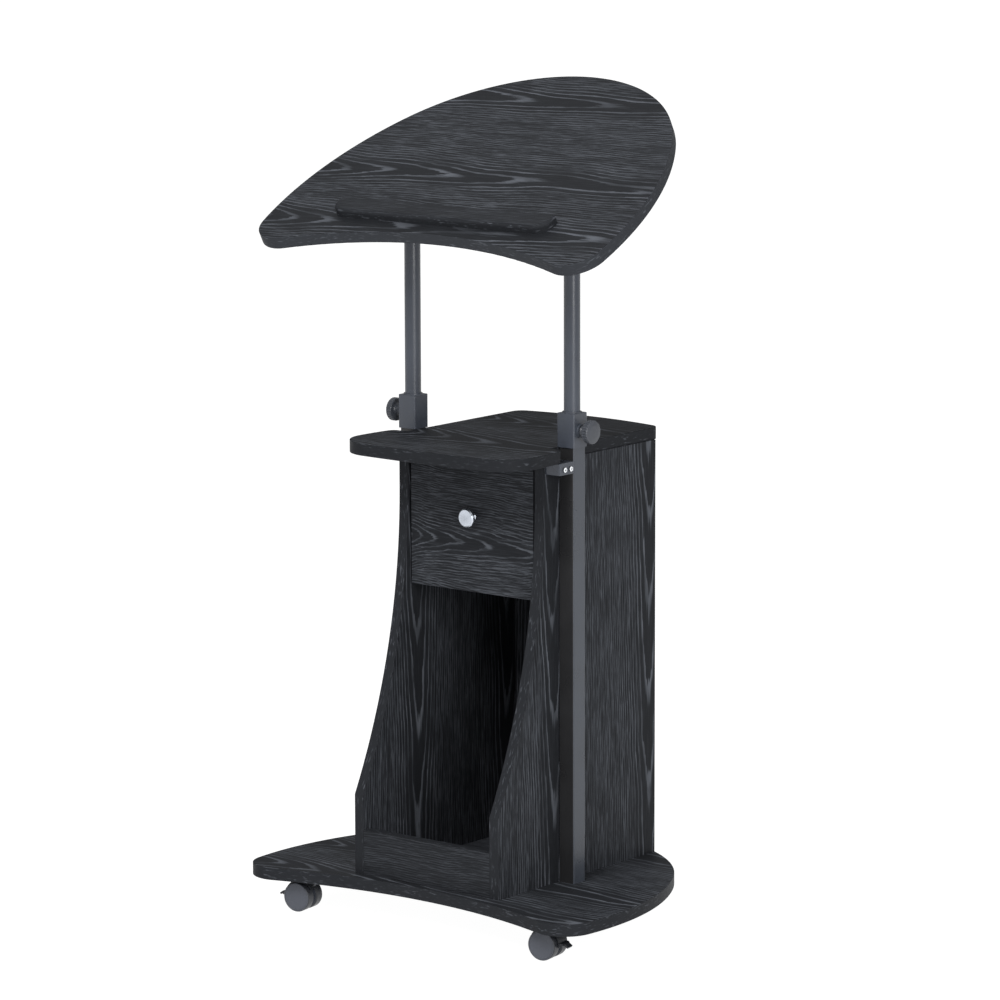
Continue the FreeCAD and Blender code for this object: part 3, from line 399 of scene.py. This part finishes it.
for side in SIDES:
    assign(OUTER_GREY_FRONT_SHADED, "outer_tube_" + side)
    assign(POST_GREY, "inner_tube_" + side, "wing_bracket_" + side, "hinge_lug_" + side)
    assign(BRACKET_BLACK, "tilt_bracket_" + side)
    assign(COLLAR_GREY, "tube_collar_" + side)
    assign(KNOB_GREY, "clamp_knob_" + side)
    assign(ZINC, "drawer_rail_" + side, "drawer_slide_" + side, "pivot_bolt_" + side)
    assign(DRAWER_BOARD, "drawer_side_" + side)
    for end in ("front", "rear"):
        assign(SCREW_WHITE, "bracket_screw_%s_%s" % (side, end))
assign(DRAWER_BOARD, "drawer_back", "drawer_bottom")
assign(KNOB_SILVER, "drawer_knob")
for corner in CORNERS:
    assign(CASTER_DARK, "caster_hood_" + corner)
    assign(ZINC, "caster_stem_" + corner, "caster_axle_" + corner)
    assign(CASTER_GREY, "wheel_%s_a" % corner, "wheel_%s_b" % corner)
for corner in CORNERS[:2]:
    assign(CASTER_DARK, "brake_lever_" + corner)


# ---------------------------------------------------------------- softened edges

def soften(width, *names):
    """Small rounding on a node's sharp edges, inside its own size."""
    for name in names:
        bevel = NODES[name].modifiers.new("softened", "BEVEL")
        bevel.width = width
        bevel.segments = 2
        bevel.limit_method = "ANGLE"
        bevel.angle_limit = math.radians(40)
        bevel.harden_normals = True


soften(0.0005, "side_panel_left", "side_panel_right", "back_panel", "kick_rail", "drawer_front",
       "drawer_side_left", "drawer_side_right", "drawer_back")


# ---------------------------------------------------------------- room, light, camera

def floor():
    """A pale studio floor that glows, as a light table does."""
    bpy.ops.mesh.primitive_plane_add(size=120, location=(0, 0, 0))
    plane = bpy.context.object
    plane.name = "floor"
    graph = Graph("floor_white")
    cloud = graph.noise(graph.coords(), 0.6, 2.0)
    graph.put(Base_Color=graph.mix(cloud, (0.13, 0.13, 0.13, 1), (0.15, 0.15, 0.15, 1)),
              Roughness=0.9, Specular_IOR_Level=0.0, Emission_Color=(1.0, 1.0, 1.0, 1.0),
              Emission_Strength=0.98)
    plane.data.materials.append(graph.material)


def studio():
    """White backdrop; the light that falls on the object is soft and mostly from above."""
    world = bpy.data.worlds.new("studio")
    world.use_nodes = True
    tree = world.node_tree
    background = tree.nodes["Background"]
    background.inputs["Strength"].default_value = 1.0
    place = tree.nodes.new("ShaderNodeTexCoord")
    height = tree.nodes.new("ShaderNodeSeparateXYZ")
    tree.links.new(place.outputs["Generated"], height.inputs["Vector"])
    dome = tree.nodes.new("ShaderNodeMapRange")
    dome.interpolation_type = "SMOOTHSTEP"
    tree.links.new(height.outputs["Z"], dome.inputs["Value"])
    dome.inputs["From Min"].default_value = 0.1
    dome.inputs["From Max"].default_value = 0.8
    dome.inputs["To Min"].default_value = 0.06
    dome.inputs["To Max"].default_value = 0.95
    tree.links.new(dome.outputs["Result"], background.inputs["Color"])
    scene.world = world


def area_light(name, position, target, size, power):
    lamp = bpy.data.lights.new(name, "AREA")
    lamp.shape = "DISK"
    lamp.size = size
    lamp.energy = power
    item = bpy.data.objects.new(name, lamp)
    item.location = position
    aim = Vector(target) - Vector(position)
    item.rotation_euler = aim.to_track_quat("-Z", "Y").to_euler()
    scene.collection.objects.link(item)


floor()
studio()
area_light("key", (0.6, -3.1, 3.7), (0, 0, 0.6), 2.2, 140)
area_light("side", (3.7, -2.0, 1.3), (0, 0, 0.6), 2.2, 95)

CAMERA_PLACE = Vector((4.0905, -5.1145, 1.6867))
AZIMUTH = math.radians(38.54)
ELEVATION = math.radians(9.64)
ROLL = math.radians(-0.14)
back = Vector((math.sin(AZIMUTH) * math.cos(ELEVATION),
               -math.cos(AZIMUTH) * math.cos(ELEVATION), math.sin(ELEVATION)))
right = Vector((math.cos(AZIMUTH), math.sin(AZIMUTH), 0.0))
up = back.cross(right)
turned_right = right * math.cos(ROLL) + up * math.sin(ROLL)
turned_up = up * math.cos(ROLL) - right * math.sin(ROLL)
lens = bpy.data.cameras.new("camera")
lens.sensor_width = 36.0
lens.lens = 176.5
lens.shift_x = -0.00975
lens.shift_y = -0.0038
lens.clip_end = 200.0
camera = bpy.data.objects.new("camera", lens)
camera.matrix_world = Matrix((
    (turned_right.x, turned_up.x, back.x, CAMERA_PLACE.x),
    (turned_right.y, turned_up.y, back.y, CAMERA_PLACE.y),
    (turned_right.z, turned_up.z, back.z, CAMERA_PLACE.z),
    (0.0, 0.0, 0.0, 1.0),
))
scene.collection.objects.link(camera)
scene.camera = camera
scene.view_settings.view_transform = "Standard"
scene.view_settings.look = "None"
